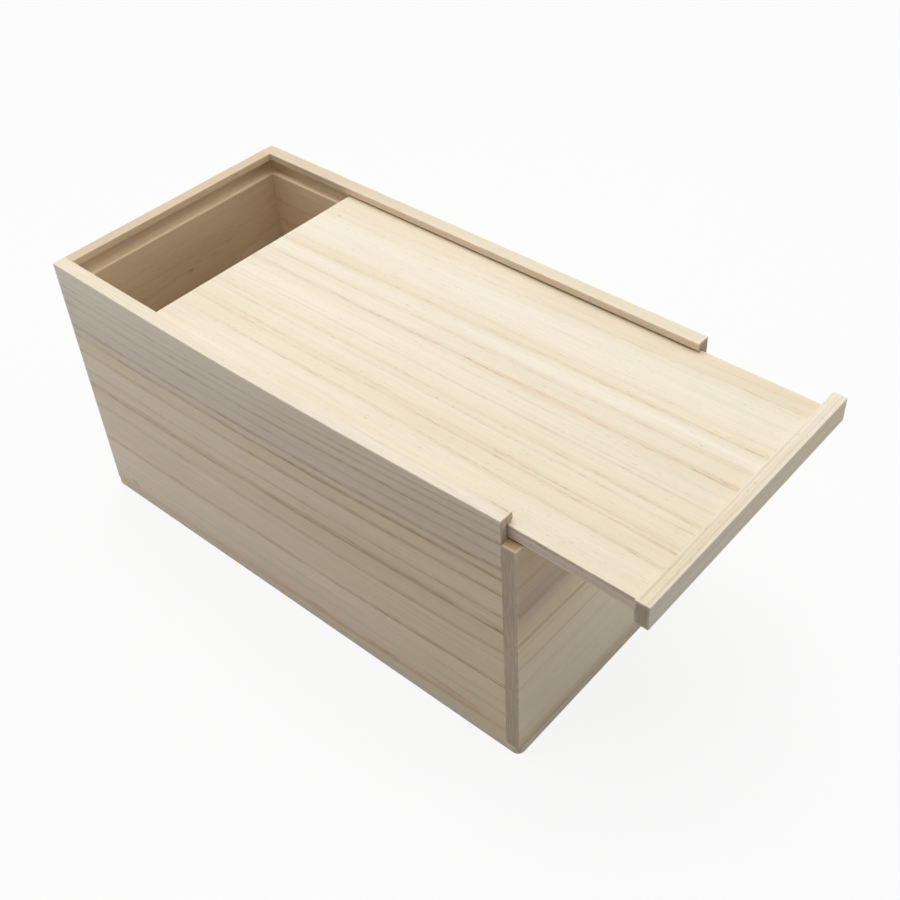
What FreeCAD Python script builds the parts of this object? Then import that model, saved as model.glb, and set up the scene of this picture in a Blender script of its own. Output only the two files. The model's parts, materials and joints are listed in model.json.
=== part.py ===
import FreeCAD, Part
import os

# A plain paulownia box with a sliding lid, in millimetres.
# The long side panels run along Y, the lid slides out towards -Y, and +Z is up.
# The origin is the centre of the base board's underside.

# ---- driving dimensions: the box ----
box_width = 150.0          # outside, over the two side panels
box_height = 154.5         # from the underside of the base board to the rim
side_length = 292.0        # side panels, from their front ends to the back of the box
side_thickness = 7.5
front_thickness = 7.6
back_thickness = 6.5
base_thickness = 6.0
front_drop = 13.1          # how far the front panel's top edge lies below the rim

# ---- driving dimensions: the lid ----
lid_thickness = 7.0
bar_thickness = 7.1        # along Y
bar_housing_depth = 3.5    # how far the lid panel's front end is let into the bar
lid_rear_entry = 1.5       # how far the shut lid's rear edge enters the back panel's groove
lid_opening = 63.0         # how far the lid is drawn out from shut

# ---- driving dimensions: the grooves that the lid slides in ----
lip_height = 4.0           # wood above the groove
side_groove_depth = 4.0
back_groove_depth = 3.6

# ---- clearances ----
play_below_lid = 0.3
play_above_lid = 1.2
play_beside_lid = 1.0      # between each long edge of the lid and the bottom of its groove
play_behind_lid = 1.0      # between the shut lid's rear corners and the stopped ends of the side grooves
gap_under_bar = 0.3        # above the front panel's top edge
gap_behind_bar = 0.3       # in front of the side panels' ends when the lid is shut

# ---- edge softening ----
arris_radius = 0.5         # free edges of every board
base_corner_radius = 4.0   # the four upright corners of the base board
base_edge_radius = 1.0     # the base board's bottom edge

# ---- levels and lines that several pieces share ----
half_width = box_width / 2
inner_half_width = half_width - side_thickness
back_y = (front_thickness + side_length) / 2
front_y = -back_y
side_front_y = front_y + front_thickness
back_inner_y = back_y - back_thickness
front_top_z = box_height - front_drop
lip_z = box_height - lip_height
groove_floor_z = lip_z - play_above_lid - lid_thickness - play_below_lid
lid_half_width = inner_half_width + side_groove_depth - play_beside_lid
lid_bottom_z = groove_floor_z + play_below_lid
shut_rear_y = back_inner_y + lid_rear_entry
side_groove_end_y = shut_rear_y + play_behind_lid
shut_bar_back_y = side_front_y - gap_behind_bar


def block(x_span, y_span, z_span):
    """Return a box between two limits along each axis; the limits may come in either order."""
    low = FreeCAD.Vector(min(x_span), min(y_span), min(z_span))
    high = FreeCAD.Vector(max(x_span), max(y_span), max(z_span))
    size = high - low
    return Part.makeBox(size.x, size.y, size.z, low)


def edges_on(shape, **planes):
    """Return the edges that lie in every named plane, such as x=3.0, z=0.0."""
    def lies_on(edge):
        return all(
            abs(getattr(vertex.Point, axis) - value) < 1e-6
            for vertex in edge.Vertexes
            for axis, value in planes.items()
        )
    return [edge for edge in shape.Edges if lies_on(edge)]


def soften(shape, radius, *lines):
    """Round the edges that lie on the given lines, each a dictionary for edges_on."""
    edges = [edge for line in lines for edge in edges_on(shape, **line)]
    return shape.makeFillet(radius, edges)


def make_base_board():
    """Bottom board under all four walls."""
    board = block((-half_width, half_width), (front_y, back_y), (0, base_thickness))
    corners = [dict(x=x, y=y) for x in (-half_width, half_width) for y in (front_y, back_y)]
    board = soften(board, base_corner_radius, *corners)
    return soften(board, base_edge_radius, dict(z=0))


def make_side_panel(side):
    """Long wall with a stopped groove for the lid; side is -1 for left and +1 for right."""
    outer_x = side * half_width
    inner_x = side * inner_half_width
    groove_x = side * (inner_half_width + side_groove_depth)
    panel = block((inner_x, outer_x), (side_front_y, back_y), (base_thickness, box_height))
    groove = block((inner_x, groove_x), (side_front_y, side_groove_end_y), (groove_floor_z, lip_z))
    panel = panel.cut(groove)
    return soften(
        panel,
        arris_radius,
        dict(x=outer_x, z=box_height),
        dict(x=inner_x, z=box_height),
        dict(y=side_front_y, z=box_height),
        dict(y=back_y, z=box_height),
        dict(x=outer_x, y=back_y),
    )


def make_front_panel():
    """Short wall over the front ends of the side panels, lower than the rim."""
    x_span = (-half_width, half_width)
    panel = block(x_span, (front_y, side_front_y), (base_thickness, front_top_z))
    return soften(
        panel,
        arris_radius,
        dict(y=front_y, z=front_top_z),
        dict(y=side_front_y, z=front_top_z),
        dict(x=-half_width, y=front_y),
        dict(x=half_width, y=front_y),
        dict(x=-half_width, z=front_top_z),
        dict(x=half_width, z=front_top_z),
    )


def make_back_panel():
    """Short wall between the side panels, with a groove for the lid's rear edge."""
    x_span = (-inner_half_width, inner_half_width)
    groove_back_y = back_inner_y + back_groove_depth
    panel = block(x_span, (back_inner_y, back_y), (base_thickness, box_height))
    panel = panel.cut(block(x_span, (back_inner_y, groove_back_y), (groove_floor_z, lip_z)))
    return soften(panel, arris_radius, dict(y=back_inner_y, z=box_height), dict(y=back_y, z=box_height))


def make_lid_panel():
    """Sliding board, from its front end inside the bar to its rear edge, with the lid shut."""
    front_end_y = shut_bar_back_y - bar_housing_depth
    top_z = lid_bottom_z + lid_thickness
    x_span = (-lid_half_width, lid_half_width)
    panel = block(x_span, (front_end_y, shut_rear_y), (lid_bottom_z, top_z))
    long_edges = [dict(x=x, z=z) for x in x_span for z in (lid_bottom_z, top_z)]
    rear_edges = [dict(y=shut_rear_y, z=z) for z in (lid_bottom_z, top_z)]
    rear_corners = [dict(x=x, y=shut_rear_y) for x in x_span]
    return soften(panel, arris_radius, *long_edges, *rear_edges, *rear_corners)


def make_lid_bar(lid_panel):
    """Cross-piece over the front panel, housed round the lid panel's front end, with the lid shut."""
    bar_front_y = shut_bar_back_y - bar_thickness
    bar_bottom_z = front_top_z + gap_under_bar
    bar = block((-half_width, half_width), (bar_front_y, shut_bar_back_y), (bar_bottom_z, box_height))
    return bar.makeFillet(arris_radius, bar.Edges).cut(lid_panel)


def make_pieces():
    """Return every piece by node name, with the lid drawn out by lid_opening."""
    lid_panel = make_lid_panel()
    lid = {"lid_panel": lid_panel, "lid_bar": make_lid_bar(lid_panel)}
    for shape in lid.values():
        shape.translate(FreeCAD.Vector(0, -lid_opening, 0))
    carcass = {
        "base_board": make_base_board(),
        "left_side_panel": make_side_panel(-1),
        "right_side_panel": make_side_panel(1),
        "front_panel": make_front_panel(),
        "back_panel": make_back_panel(),
    }
    return {**carcass, **lid}


os.makedirs("parts", exist_ok=True)
for node, shape in make_pieces().items():
    shape.exportStep(f"parts/{node}.step")
    print(f"{node}: {shape.Volume / 1000:.1f} cm3, {len(shape.Solids)} solid, valid {shape.isValid()}")
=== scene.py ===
"""A plain paulownia box with a sliding lid, drawn part of the way out.

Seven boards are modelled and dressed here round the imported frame: five for the box and two for
the lid. Lengths in the classes are in millimetres, and the meshes are in metres.
"""

import json
import logging
import math
from dataclasses import dataclass, field
from enum import Enum
from functools import reduce
from operator import add
from typing import Sequence, Union

import bmesh
import bpy
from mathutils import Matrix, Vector

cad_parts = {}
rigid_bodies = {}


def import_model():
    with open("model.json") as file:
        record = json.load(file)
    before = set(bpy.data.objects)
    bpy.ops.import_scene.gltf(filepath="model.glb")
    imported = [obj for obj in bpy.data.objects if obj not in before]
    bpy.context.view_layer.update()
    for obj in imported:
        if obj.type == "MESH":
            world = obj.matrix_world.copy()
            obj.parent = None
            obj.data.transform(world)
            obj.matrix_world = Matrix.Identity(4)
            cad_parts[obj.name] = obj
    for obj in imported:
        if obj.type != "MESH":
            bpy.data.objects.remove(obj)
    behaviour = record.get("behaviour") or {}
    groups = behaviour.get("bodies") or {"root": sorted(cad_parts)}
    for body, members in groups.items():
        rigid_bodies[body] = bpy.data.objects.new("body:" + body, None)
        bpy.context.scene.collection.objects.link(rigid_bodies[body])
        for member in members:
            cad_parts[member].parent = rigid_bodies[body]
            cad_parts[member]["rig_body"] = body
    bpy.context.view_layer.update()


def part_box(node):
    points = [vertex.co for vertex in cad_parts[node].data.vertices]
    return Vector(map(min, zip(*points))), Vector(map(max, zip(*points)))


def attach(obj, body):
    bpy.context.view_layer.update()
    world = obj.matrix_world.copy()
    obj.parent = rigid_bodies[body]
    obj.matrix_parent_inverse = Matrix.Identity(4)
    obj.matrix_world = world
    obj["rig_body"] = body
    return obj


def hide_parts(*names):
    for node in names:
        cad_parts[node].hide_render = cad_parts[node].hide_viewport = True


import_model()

LOG = logging.getLogger("kiri_box")
MM = 0.001
ARRIS_LAYER = "arris"
NOISE_MIDDLE = 0.5

Colour = tuple[float, float, float]
Sizes = tuple[float, float, float]
Span = tuple[float, float]
Fed = Union["Value", float, Sequence[float]]
Inputs = dict[str | int, Fed]


# ---------------------------------------------------------------- choices


class Grain(Enum):
    """How a board's fibres run: the axes along, across and through it."""

    LENGTHWISE_UPRIGHT = ("Y", "Z", "X")
    LENGTHWISE_FLAT = ("Y", "X", "Z")
    CROSSWISE_UPRIGHT = ("X", "Z", "Y")


class Side(Enum):
    """The two long sides of the box, by the sign of X."""

    LEFT = -1
    RIGHT = 1


class Tint(Enum):
    """Tones of the wood between its growth lines, as linear colours; two of them also hold painted warm
    bounce light and painted shade.
    """

    PALE = (0.850, 0.768, 0.620)
    IVORY = (0.838, 0.745, 0.586)
    CREAM = (0.825, 0.722, 0.552)
    BUFF = (0.812, 0.706, 0.526)
    BLUSH = (0.815, 0.692, 0.521)
    STRAW = (0.800, 0.690, 0.500)
    PEACH = (0.805, 0.662, 0.490)
    TAN = (0.735, 0.610, 0.445)
    GREY = (0.750, 0.668, 0.540)
    # painted warm bounce light: the back board's inner wall, brighter and warmer than its wood, for light
    # bounced inside the box
    BOUNCE_HONEY = (0.895, 0.685, 0.425)
    ROSE = (0.640, 0.510, 0.410)
    FAWN = (0.650, 0.535, 0.405)
    COCOA = (0.490, 0.350, 0.197)
    MAUVE = (0.745, 0.632, 0.535)
    # painted shade: the right board's lip, darkened for the shade under the rim
    SHADE_DUSK = (0.655, 0.615, 0.530)


# ---------------------------------------------------------------- finishes


@dataclass(frozen=True)
class RingLine:
    """One growth line, or a painted shade line drawn in the same way.

    Args:
        place: where it lies across the board, in mm, at the board's datum end.
        depth: how dark it is, from 0 to 1.
        core: width of its darkest part, in mm.
        fade: width of its soft side, in mm, towards higher places.
    """

    place: float
    depth: float
    core: float
    fade: float


def rings(*rows: tuple[float, float, float, float]) -> tuple[RingLine, ...]:
    """Make growth lines from rows of place, depth, core and fade."""
    return tuple(RingLine(*row) for row in rows)


@dataclass(frozen=True)
class PinKnot:
    """A small brown knot or stain.

    Args:
        along: its place along the board, in mm.
        across: its place across the board, in mm.
        length: half its length, in mm.
        width: half its width, in mm.
        depth: how dark it is, from 0 to 1.
    """

    along: float
    across: float
    length: float
    width: float
    depth: float


@dataclass(frozen=True)
class Growth:
    """How a board was cut from the tree.

    Args:
        datum: the place along the board, in mm, at which lines and bands are listed.
        face: the place through the board, in mm, of the face on which they are listed.
        seed: picks the board's own pattern.
        rise: how far the lines climb per mm along the board.
        sweep: how much they curve, per mm.
        fan: how fast they spread apart, per mm, from the pivot.
        pivot: the place across the board, in mm, that the fan leaves still.
        tilt: how far they shift per mm through the board's thickness.
        wander: how far they stray, in mm.
    """

    datum: float
    face: float
    seed: float
    rise: float = 0.0
    sweep: float = 0.0
    fan: float = 0.0
    pivot: float = 0.0
    tilt: float = 0.0
    wander: float = 0.0


@dataclass(frozen=True)
class DriftAndShade:
    """Slow changes of tone, as colours that multiply the wood's own; most of them are painted shade and
    light.

    Args:
        start: at the board's low end; painted shade and light where the lamps reach that end unevenly.
        finish: at its high end; painted shade and light likewise.
        far_face_bounce: well under the face on which its lines are listed. On the sides and the front this
            is the inner face, warmed as painted bounce light inside the box. On the back it is the outer
            face, cooled to take that painted warmth back out.
        strength: how strongly its lines show at the low and the high end.
        reach: places of the two ends along the board, in mm.
    """

    start: Colour = (1.0, 1.0, 1.0)
    finish: Colour = (1.0, 1.0, 1.0)
    far_face_bounce: Colour = (1.0, 1.0, 1.0)
    strength: Span = (1.0, 1.0)
    reach: Span = (-150.0, 150.0)


@dataclass(frozen=True)
class BoardFinish:
    """The look of one board of bare planed paulownia.

    Args:
        name: the material's name.
        grain: how its fibres run.
        growth: how it was cut.
        lines: its growth lines, in order of place; one on the lid is a painted shade line.
        bands: its tones between them, by their places across it in mm, in order.
        edge: tones of its narrow edges at the low and the high end.
        drift_and_shade: its slow changes of tone, most of them painted shade and light.
        knots: its small knots and stains.
        end_span: places along it between which a square face is joinery and no sawn end.
        edge_span: places across it between which a square face is joinery and no planed edge.
        contrast: how strongly its lines show.
        line_colour: colour of the lines.
        pore_colour: colour of the open vessels.
        end_colour: colour of the sawn ends.
        arris_colour: colour of the arrises, where wear and a painted highlight lighten them.
        streaks: strength of the fibre streaks.
        rows: strength of the dashes in the lines.
        pores: strength of the short dashes everywhere.
        worn: strength of the lighter arrises, partly wear and partly painted highlight.
        roughness: the surface's mean roughness.
    """

    name: str
    grain: Grain
    growth: Growth
    lines: tuple[RingLine, ...]
    bands: dict[float, Tint]
    edge: tuple[Tint, Tint]
    drift_and_shade: DriftAndShade = DriftAndShade()
    knots: tuple[PinKnot, ...] = ()
    end_span: Span = (-60.0, 60.0)
    edge_span: Span = (-60.0, 60.0)
    contrast: float = 1.0
    line_colour: Colour = (0.375, 0.240, 0.075)
    pore_colour: Colour = (0.215, 0.145, 0.085)
    end_colour: Colour = (0.455, 0.360, 0.255)
    arris_colour: Colour = (0.900, 0.820, 0.680)
    streaks: float = 1.0
    rows: float = 1.0
    pores: float = 1.0
    worn: float = 0.35
    roughness: float = 0.66


# ---------------------------------------------------------------- node work


class Value:
    """The output of a node, reckoned with like a number."""

    def __init__(self, bench: "NodeBench", socket: bpy.types.NodeSocket) -> None:
        """Keep the output and the bench that its node stands on."""
        self.bench, self.socket = bench, socket

    def __add__(self, other: Fed) -> "Value":
        """Add a value or a number."""
        return self.bench.maths("ADD", self, other)

    def __sub__(self, other: Fed) -> "Value":
        """Take a value or a number away."""
        return self.bench.maths("SUBTRACT", self, other)

    def __mul__(self, other: Fed) -> "Value":
        """Multiply by a value or a number."""
        return self.bench.maths("MULTIPLY", self, other)

    def __truediv__(self, other: Fed) -> "Value":
        """Divide by a value or a number."""
        return self.bench.maths("DIVIDE", self, other)

    def __abs__(self) -> "Value":
        """Drop the sign."""
        return self.bench.maths("ABSOLUTE", self)

    def split(self) -> list["Value"]:
        """Return a vector's three parts."""
        parts = self.bench.add("ShaderNodeSeparateXYZ", {0: self}).outputs
        return [Value(self.bench, part) for part in parts]

    def step(self, low: Fed, high: Fed, to: Span = (0.0, 1.0)) -> "Value":
        """Map the value smoothly to another span.

        Args:
            low: the value that gives the span's first end.
            high: the value that gives its second end.
            to: the span.

        Returns:
            The mapped value, which stays within the span.
        """
        names = ("Value", "From Min", "From Max", "To Min", "To Max")
        inputs = dict(zip(names, (self, low, high, *to)))
        return self.bench.value("ShaderNodeMapRange", inputs, interpolation_type="SMOOTHSTEP", clamp=True)

    def noise(self, sizes: Sizes, seed: Fed, detail: float = 1.0, rough: float = 0.5) -> "Value":
        """Lay seeded noise over the places that this value holds, in mm.

        Args:
            sizes: how long its features are on each axis, in mm.
            seed: picks the pattern.
            detail: how many finer layers it has.
            rough: how strong they are.

        Returns:
            The noise, about 0.5.
        """
        place = self.bench.value("ShaderNodeVectorMath", {0: self, 1: sizes}, operation="DIVIDE")
        inputs = {"Vector": place, "W": seed, "Scale": 1.0, "Detail": detail, "Roughness": rough}
        return self.bench.value("ShaderNodeTexNoise", inputs, "Fac", noise_dimensions="4D")


class NodeBench:
    """Adds and joins nodes in one tree."""

    def __init__(self, tree: bpy.types.NodeTree) -> None:
        """Keep the tree that is worked on."""
        self.tree = tree

    @classmethod
    def cleared(cls, owner: bpy.types.ID) -> "NodeBench":
        """Open a bench in the emptied node tree of a material or a world.

        Args:
            owner: the material or the world.

        Returns:
            The bench.
        """
        owner.use_nodes = True
        owner.node_tree.nodes.clear()
        return cls(owner.node_tree)

    def feed(self, target: bpy.types.NodeSocket, fed: Fed) -> None:
        """Join a value to an input, or set the input's own number, vector or colour.

        Args:
            target: the input.
            fed: what it gets.
        """
        if isinstance(fed, Value):
            self.tree.links.new(fed.socket, target)
        else:
            target.default_value = fed

    def add(self, kind: str, inputs: Inputs | None = None, **settings: object) -> bpy.types.Node:
        """Add a node.

        Args:
            kind: the node's type name.
            inputs: what its inputs get, by their names or numbers.
            settings: its properties by name.

        Returns:
            The new node.
        """
        node = self.tree.nodes.new(kind)
        for name, setting in settings.items():
            setattr(node, name, setting)
        for name, fed in (inputs or {}).items():
            self.feed(node.inputs[name], fed)
        return node

    def value(
        self, kind: str, inputs: Inputs | None = None, output: str | int = 0, **settings: object
    ) -> Value:
        """Add a node and return one of its outputs, by its name or number."""
        return Value(self, self.add(kind, inputs, **settings).outputs[output])

    def maths(self, operation: str, *operands: Fed) -> Value:
        """Add a Math node over up to three values."""
        return self.value("ShaderNodeMath", dict(enumerate(operands)), operation=operation)

    def vector(self, *parts: Fed) -> Value:
        """Combine three values into a vector."""
        return self.value("ShaderNodeCombineXYZ", dict(zip("XYZ", parts)))

    def shader_mix(self, share: Fed, first: Value, second: Value) -> Value:
        """Mix two shaders, by the share of the second."""
        return self.value("ShaderNodeMixShader", {0: share, 1: first, 2: second})

    def blend(self, share: Fed, first: Fed, second: Fed, mode: str = "MIX") -> Value:
        """Mix two colours.

        Args:
            share: the share of the second.
            first: a value or a colour.
            second: a value or a colour.
            mode: how they are mixed.

        Returns:
            The mixed colour.
        """
        colours = [item if isinstance(item, Value) else (*item, 1.0) for item in (first, second)]
        inputs = dict(zip((0, 6, 7), (share, *colours)))
        return self.value("ShaderNodeMix", inputs, 2, data_type="RGBA", blend_type=mode, clamp_factor=True)

    def tinted(self, colour: Fed, by: Fed) -> Value:
        """Multiply one colour by another."""
        return self.blend(1.0, colour, by, "MULTIPLY")


class ShaderGroup:
    """A shader node group, made once and placed many times.

    Its inputs are the point on the board, in mm along, across and through it, the board's seed and
    the vectors and numbers that a subclass names. Its outputs are the results that it names. Its
    noises are listed by name, with the sizes of their features in mm, their detail and roughness.
    """

    title = ""
    vectors: tuple[str, ...] = ()
    numbers: tuple[str, ...] = ()
    results: tuple[str, ...] = ()
    noises: dict[str, tuple[Sizes, float, float]] = {}

    def __init__(self) -> None:
        """Make the group's sockets and fill it."""
        self.tree = bpy.data.node_groups.new(self.title, "ShaderNodeTree")
        sockets = (
            ("INPUT", "NodeSocketVector", ("Point", *self.vectors)),
            ("INPUT", "NodeSocketFloat", ("Seed", *self.numbers)),
            ("OUTPUT", "NodeSocketFloat", self.results),
        )
        for side, kind, names in sockets:
            for name in names:
                self.tree.interface.new_socket(name, in_out=side, socket_type=kind)
        self.bench = NodeBench(self.tree)
        inlets = self.bench.add("NodeGroupInput").outputs
        self.given = {inlet.name: Value(self.bench, inlet) for inlet in inlets if inlet.name}
        outlets = self.bench.add("NodeGroupOutput").inputs
        for name, result in self.fill().items():
            self.bench.feed(outlets[name], result)

    def noise(self, name: str) -> Value:
        """Lay the noise of that name over the board."""
        sizes, detail, rough = self.noises[name]
        return self.given["Point"].noise(sizes, self.given["Seed"], detail, rough)

    def fill(self) -> dict[str, Value]:
        """Build the group's nodes and return its results; by itself, each noise is one."""
        return {name: self.noise(name) for name in self.noises}

    def place(self, bench: NodeBench, inputs: dict[str, Fed]) -> dict[str, Value]:
        """Place the group in a material and return its outputs by name."""
        node = bench.add("ShaderNodeGroup", inputs, node_tree=self.tree)
        return {outlet.name: Value(bench, outlet) for outlet in node.outputs}


class GrowthField(ShaderGroup):
    """Finds where a point lies among the board's growth lines, in mm."""

    title = "kiri_growth_field"
    numbers = ("Datum", "Face", "Rise", "Sweep", "Fan", "Pivot", "Tilt", "Wander")
    results = ("Place",)
    noises = {
        "slow": ((85.0, 28.0, 40.0), 1.0, 0.5),
        "quick": ((17.0, 3.5, 6.0), 1.0, 0.5),
        "fibre": ((4.0, 0.5, 0.8), 0.0, 0.5),
    }
    wander_shares = {"slow": 3.2, "quick": 1.1, "fibre": 0.45}

    def fill(self) -> dict[str, Value]:
        """Lay the lines out by rise, sweep, fan and tilt, and let them wander.

        Returns:
            The place.
        """
        given = self.given
        along, across, through = given["Point"].split()
        run = along - given["Datum"]
        place = across - run * given["Rise"] - run * run * given["Sweep"]
        place = place + run * given["Fan"] * (across - given["Pivot"])
        place = place + (through - given["Face"]) * given["Tilt"]
        for name, share in self.wander_shares.items():
            place = place + (self.noise(name) - NOISE_MIDDLE) * given["Wander"] * share
        return {"Place": place}


class FibreStreaks(ShaderGroup):
    """Fine and broad streaks that follow the fibres, and long flecks."""

    title = "kiri_fibre_streaks"
    results = ("Fine", "Broad", "Fleck")
    noises = {
        "Fine": ((14.0, 0.42, 0.42), 2.0, 0.55),
        "Broad": ((75.0, 2.4, 3.0), 2.0, 0.55),
        "Fleck": ((36.0, 1.0, 1.2), 1.0, 0.5),
    }


class ShopMottle(ShaderGroup):
    """Slow changes of tone over a board, and the faint dust of sanding."""

    title = "kiri_shop_mottle"
    results = ("Slow", "Dust")
    noises = {"Slow": ((110.0, 32.0, 60.0), 1.0, 0.5), "Dust": ((1.6, 0.9, 0.9), 3.0, 0.65)}


class VesselDashes(ShaderGroup):
    """The open vessels: short dashes everywhere, and rows of long ones by the growth lines."""

    title = "kiri_vessel_dashes"
    numbers = ("Nearness",)
    results = ("Pore", "Row")
    noises = {"Pore": ((3.2, 0.34, 0.34), 1.0, 0.4), "Row": ((7.5, 0.5, 0.6), 1.0, 0.5)}
    row_reach = (0.02, 0.3)

    def fill(self) -> dict[str, Value]:
        """Cut the noises off at heights that drop near a growth line."""
        row = self.dashes("Row", cut=0.62, drop=0.24, soft=0.09)
        return {
            "Pore": self.dashes("Pore", cut=0.69, drop=0.14, soft=0.07),
            "Row": row * self.given["Nearness"].step(*self.row_reach),
        }

    def dashes(self, name: str, cut: float, drop: float, soft: float) -> Value:
        """Show a noise from a cut that is lower near the lines, and in full a little above it."""
        height = self.given["Nearness"] * -drop + cut
        return self.noise(name).step(height, height + soft)


class CutFace(ShaderGroup):
    """Where a surface lies square to one of the board's axes, from its own normal.

    Faces between the low and the high place on that axis are left out.
    """

    title = "kiri_cut_face"
    vectors = ("Normal", "Axis")
    numbers = ("Place", "Low", "High")
    results = ("Facing", "Speckle")
    noises = {"Speckle": ((3.0, 9.0, 0.55), 3.0, 0.7)}
    square = (0.55, 0.9)

    def fill(self) -> dict[str, Value]:
        """Compare the normal with the axis, and speckle the cut fibres.

        Returns:
            How square the surface is, and the speckle.
        """
        given, maths = self.given, self.bench.maths
        pair = {0: given["Normal"], 1: given["Axis"]}
        facing = abs(self.bench.value("ShaderNodeVectorMath", pair, "Value", operation="DOT_PRODUCT"))
        below = maths("LESS_THAN", given["Place"], given["Low"])
        outside = maths("MAXIMUM", below, maths("GREATER_THAN", given["Place"], given["High"]))
        return {"Facing": facing.step(*self.square) * outside, "Speckle": self.noise("Speckle")}


class KnotSpot(ShaderGroup):
    """One small knot or stain with a ragged rim."""

    title = "kiri_knot_spot"
    numbers = ("Along", "Across", "Length", "Width", "Depth")
    results = ("Dark",)
    noises = {"rim": ((7.0, 1.8, 3.0), 2.0, 0.6)}
    raggedness = 1.4
    fade = (0.2, 1.0, (1.0, 0.0))

    def fill(self) -> dict[str, Value]:
        """Measure the distance from the spot's middle and break it up with noise.

        Returns:
            The spot.
        """
        given = self.given
        along, across, _ = given["Point"].split()
        run = (along - given["Along"]) / given["Length"]
        rise = (across - given["Across"]) / given["Width"]
        far = self.bench.maths("SQRT", run * run + rise * rise)
        far = far + (self.noise("rim") - NOISE_MIDDLE) * self.raggedness
        return {"Dark": far.step(*self.fade) * given["Depth"]}


class WornArrisHighlight(ShaderGroup):
    """Edges rubbed smooth by the plane and by hands, and lighter, partly from wear and partly as a painted
    highlight along the arris.
    """

    title = "kiri_arris_wear_and_highlight"
    numbers = ("Arris",)
    results = ("Worn",)
    noises = {"patchiness": ((9.0, 4.0, 4.0), 2.0, 0.6)}
    patchiness = (0.3, 0.65, (0.35, 1.0))
    fade = (0.1, 0.95)

    def fill(self) -> dict[str, Value]:
        """Break the edge band up with noise."""
        ragged = self.given["Arris"] * self.noise("patchiness").step(*self.patchiness)
        return {"Worn": ragged.step(*self.fade)}


class BoardPaint:
    """Lays out one board's material: its masks first, then its colour, roughness and relief."""

    # growth lines: how many share a ramp, lengths in mm, how dark their late side is, and their wear
    lines_per_ramp = 7
    line_margin = 6.0
    band_margin = 1.0
    onset = 0.9
    least_gap = 0.02
    late_share = 0.75
    line_wear = (0.28, 0.62, (0.40, 1.15))

    # colour: how far each layer covers the one below, and how much the fibres change the wood's level
    row_share = 0.36
    pore_share = 0.40
    cut_share = 0.85
    streak_shares = {"Fine": 0.26, "Broad": 0.24, "Fleck": -0.13}
    slow_share = 0.14
    browning = (0.85, 1.0, 1.40)
    far_face_depths = (1.0, 7.0)
    end_tones = (0.3, 0.7, (0.77, 1.16))

    # surface: changes of roughness, and the relief, whose height is in metres
    specular = 0.3
    fibre_span = (0.3, 0.7)
    fibre_sheen = (-0.05, 0.06)
    sheen_shares = {"Worn": -0.08, "Facing": 0.12}
    relief_shares = {"Fine": 0.30, "Broad": 0.25, "Dust": 0.08, "Line": -0.18, "Row": -0.16, "Pore": -0.30}
    relief_strength = 0.35
    relief_height = 0.00025

    def __init__(self, finish: BoardFinish, groups: dict[type[ShaderGroup], ShaderGroup]) -> None:
        """Start an empty material, and find the board's own directions and its masks.

        Args:
            finish: the board's look.
            groups: the shared node groups by class.
        """
        self.finish, self.groups = finish, groups
        self.material = bpy.data.materials.new(finish.name)
        self.bench = NodeBench.cleared(self.material)
        coords = self.bench.add("ShaderNodeTexCoord").outputs
        self.normal = Value(self.bench, coords["Normal"])
        metres = {"Vector": Value(self.bench, coords["Object"]), "Scale": (1 / MM, 1 / MM, 1 / MM)}
        parts = dict(zip("XYZ", self.bench.value("ShaderNodeMapping", metres, vector_type="POINT").split()))
        self.along, self.across, self.through = (parts[axis] for axis in finish.grain.value)
        self.point = self.bench.vector(self.along, self.across, self.through)
        self.run = self.along.step(*finish.drift_and_shade.reach)
        self.masks = self.place(GrowthField, finish.growth)
        self.masks |= self.place(FibreStreaks) | self.place(ShopMottle)
        self.masks["Line"] = self.line_mask()
        self.masks |= self.place(VesselDashes, Nearness=self.masks["Line"])
        self.masks["Edge"] = self.cut_face(1, self.across, finish.edge_span)["Facing"]
        self.masks |= self.cut_face(0, self.along, finish.end_span)
        arris = self.bench.value("ShaderNodeAttribute", output="Fac", attribute_name=ARRIS_LAYER)
        self.masks |= self.place(WornArrisHighlight, Arris=arris)

    def place(
        self, kind: type[ShaderGroup], settings: Growth | PinKnot | None = None, **inputs: Fed
    ) -> dict[str, Value]:
        """Place a shared group over this board.

        Args:
            kind: the group's class.
            settings: its fields are inputs of the group too.
            inputs: its other inputs by name.

        Returns:
            The group's outputs by name.
        """
        fields = {name.capitalize(): number for name, number in vars(settings).items()} if settings else {}
        shared = {"Point": self.point, "Seed": self.finish.growth.seed}
        return self.groups[kind].place(self.bench, shared | fields | inputs)

    def cut_face(self, way: int, place: Value, span: Span) -> dict[str, Value]:
        """Find the faces square to the grain's first or second axis, outside a span of places on it."""
        axis = unit(self.finish.grain.value[way])
        return self.place(CutFace, Normal=self.normal, Axis=axis, Place=place, Low=span[0], High=span[1])

    def line_mask(self) -> Value:
        """Draw the growth lines, worn here and there, and the knots.

        Returns:
            The mask, from 0 to 1.
        """
        lines, count = self.finish.lines, self.lines_per_ramp
        groups = [lines[first : first + count] for first in range(0, len(lines), count)]
        mask = reduce(add, map(self.line_ramp, groups)) * self.masks["Fleck"].step(*self.line_wear)
        for knot in self.finish.knots:
            mask = self.bench.maths("MAXIMUM", mask, self.place(KnotSpot, knot)["Dark"])
        return mask

    def line_ramp(self, lines: Sequence[RingLine]) -> Value:
        """Draw a few growth lines with one ramp, each with a sharp side and a soft one.

        Args:
            lines: the lines, in order of place.

        Returns:
            The mask, from 0 to 1.
        """
        stops: list[tuple[float, float]] = []
        for line in lines:
            early, late = line.place - 0.5 * line.core, line.place + 0.5 * line.core
            stops += [(early - self.onset, 0.0), (early, line.depth)]
            stops += [(late, self.late_share * line.depth), (late + line.fade, 0.0)]
        for index in range(1, len(stops)):
            at = max(stops[index][0], stops[index - 1][0] + self.least_gap)
            stops[index] = (at, stops[index][1])
        span = (lines[0].place - self.line_margin, lines[-1].place + self.line_margin)
        return self.ramp(span, {at: (tone, tone, tone) for at, tone in stops})

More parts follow.
